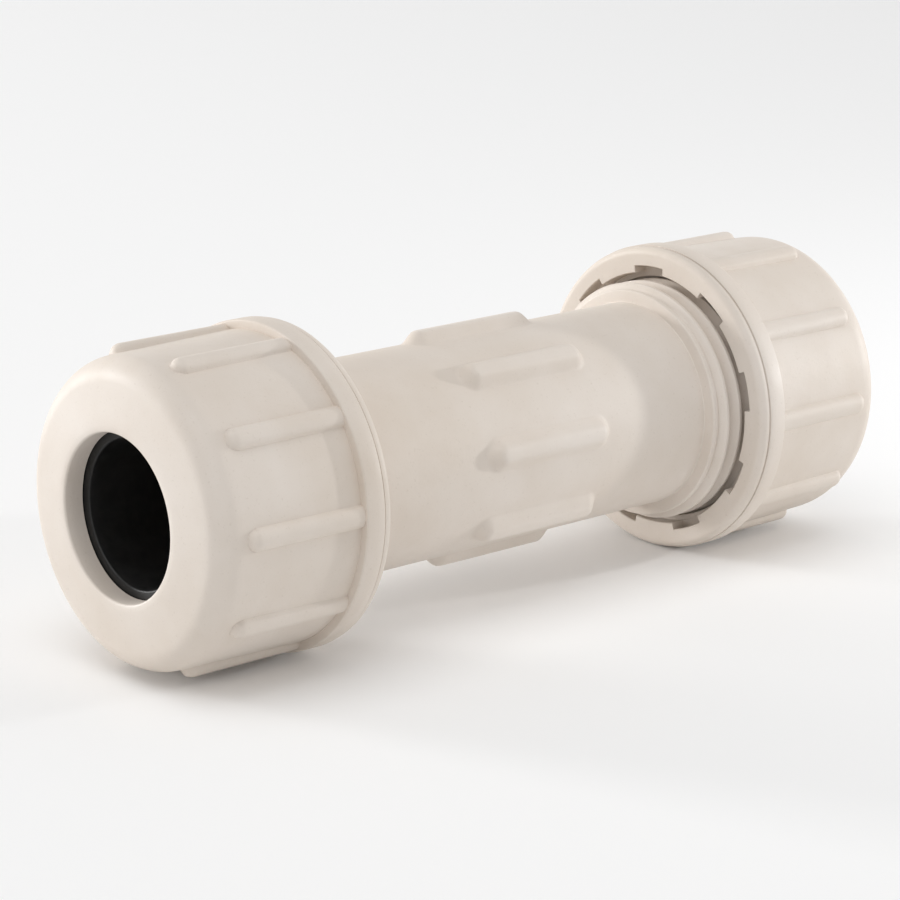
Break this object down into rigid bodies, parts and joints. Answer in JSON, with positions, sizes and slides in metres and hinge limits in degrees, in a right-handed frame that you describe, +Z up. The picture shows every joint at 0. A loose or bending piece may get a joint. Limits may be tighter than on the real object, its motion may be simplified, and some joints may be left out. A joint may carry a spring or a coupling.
{
  "type": "compression fitting",
  "caption": "Straight coupling that joins plain pipe ends, with a ribbed nut screwed onto each end of a threaded body over a rubber gasket.",
  "frame": {"origin": "centre of the fitting, on the pipe axis halfway between the nuts' end faces", "axes": "+X along the pipe axis towards the right-hand pipe, +Z up, -Y the side that faces the viewer"},
  "size_m": [0.1224, 0.044, 0.044],
  "materials": {
    "fitting_plastic": "matte moulded beige",
    "gasket_rubber": "smooth black"
  },
  "bodies": {
    "fitting_body": {"body": "fitting_plastic"},
    "left_seal": {"left_gasket": "gasket_rubber"},
    "left_cap": {"left_nut": "fitting_plastic"},
    "right_seal": {"right_gasket": "gasket_rubber"},
    "right_cap": {"right_nut": "fitting_plastic"}
  },
  "joints": [
    {"name": "left_nut_advance", "type": "slide", "parent": "fitting_body", "child": "left_seal", "axis": [-1, 0, 0], "range_m": [0, 0.01755]},
    {"name": "left_nut_turn", "type": "hinge", "parent": "left_seal", "child": "left_cap", "pos_m": [0, 0, 0], "axis": [-1, 0, 0], "range_deg": [0, 2520]},
    {"name": "right_nut_advance", "type": "slide", "parent": "fitting_body", "child": "right_seal", "axis": [1, 0, 0], "range_m": [0, 0.01755]},
    {"name": "right_nut_turn", "type": "hinge", "parent": "right_seal", "child": "right_cap", "pos_m": [0, 0, 0], "axis": [1, 0, 0], "range_deg": [0, 2520]}
  ],
  "couplings": [
    {"joint": "left_nut_advance", "follows": "left_nut_turn", "m_per_rad": 0.00039789},
    {"joint": "right_nut_advance", "follows": "right_nut_turn", "m_per_rad": 0.00039789}
  ]
}
